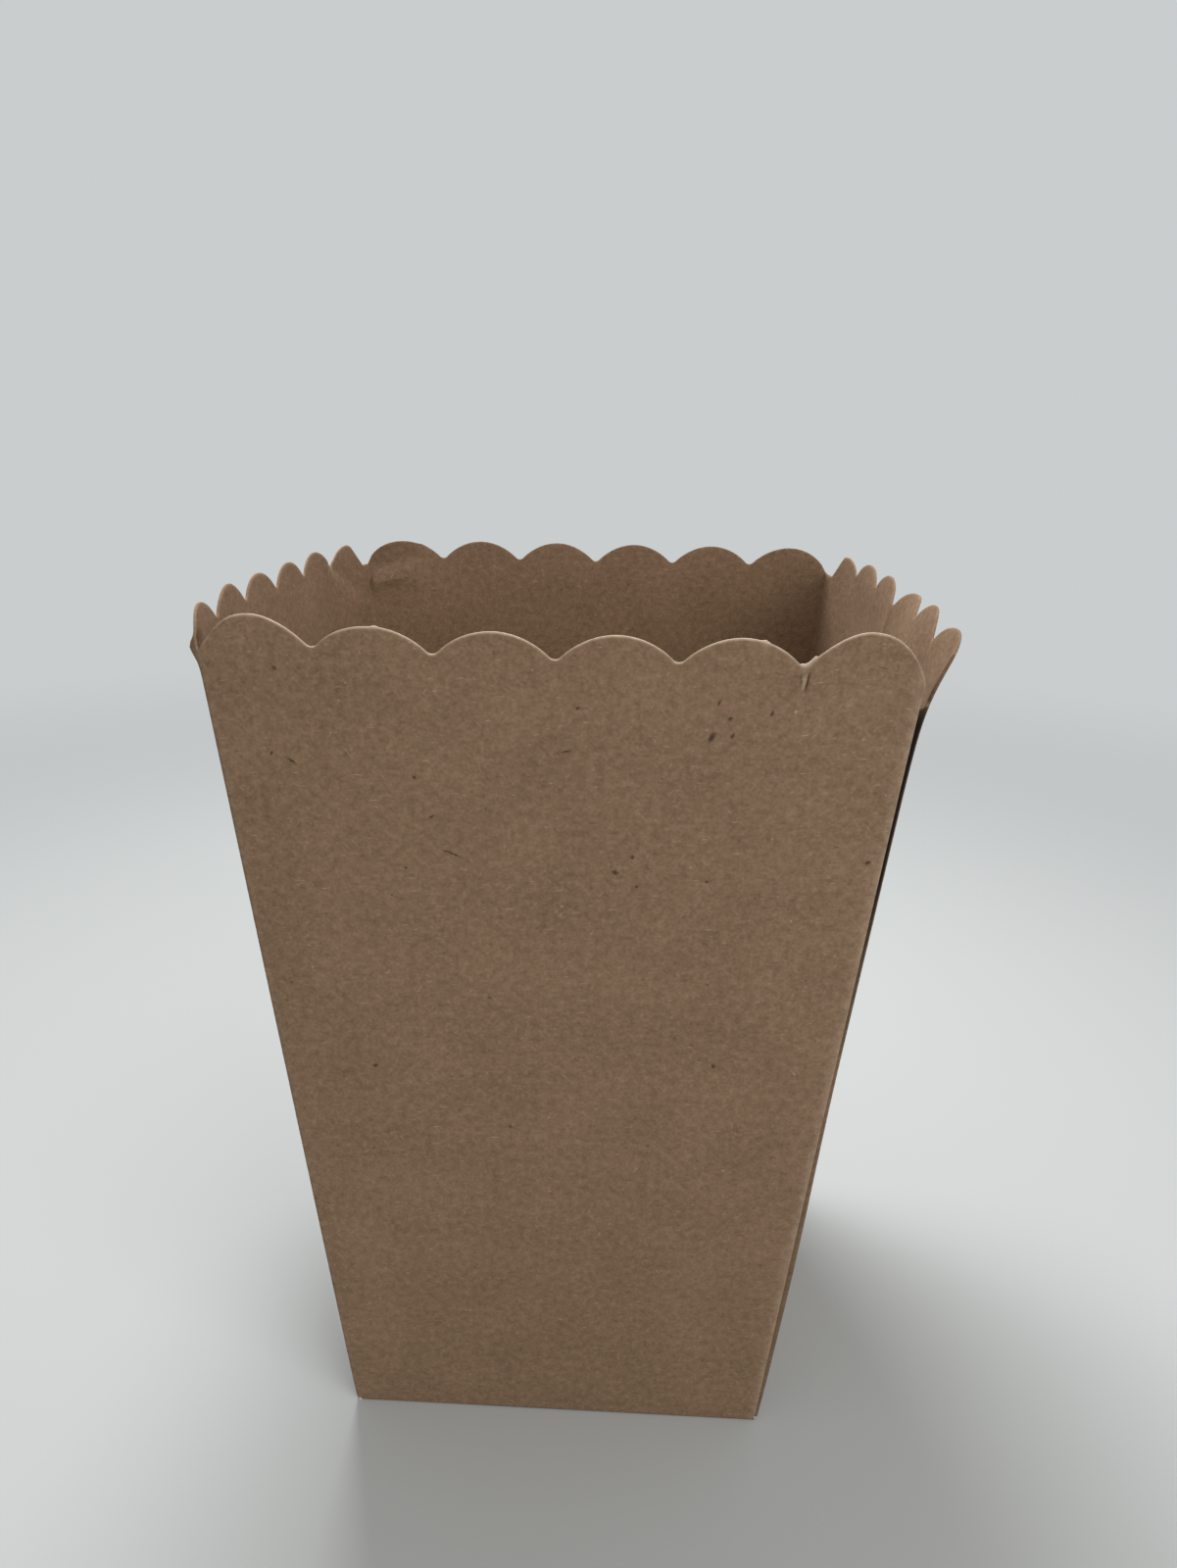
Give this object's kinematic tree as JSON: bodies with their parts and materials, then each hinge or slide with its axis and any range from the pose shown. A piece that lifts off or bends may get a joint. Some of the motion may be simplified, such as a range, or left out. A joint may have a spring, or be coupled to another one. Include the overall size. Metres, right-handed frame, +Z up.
{
  "type": "popcorn cup",
  "caption": "Tapering square cup of brown kraft board with a scalloped rim, folded from one sheet, open at the top, for popcorn and other dry snacks.",
  "frame": {"origin": "middle of the base, on the floor", "axes": "+Z up out of the mouth, -Y out of the front wall, +X out of the right wall"},
  "size_m": [0.0918, 0.0898, 0.1208],
  "materials": {
    "kraft_board": "uncoated, matt"
  },
  "bodies": {
    "root": {"popcorn_cup": "kraft_board"}
  },
  "joints": []
}
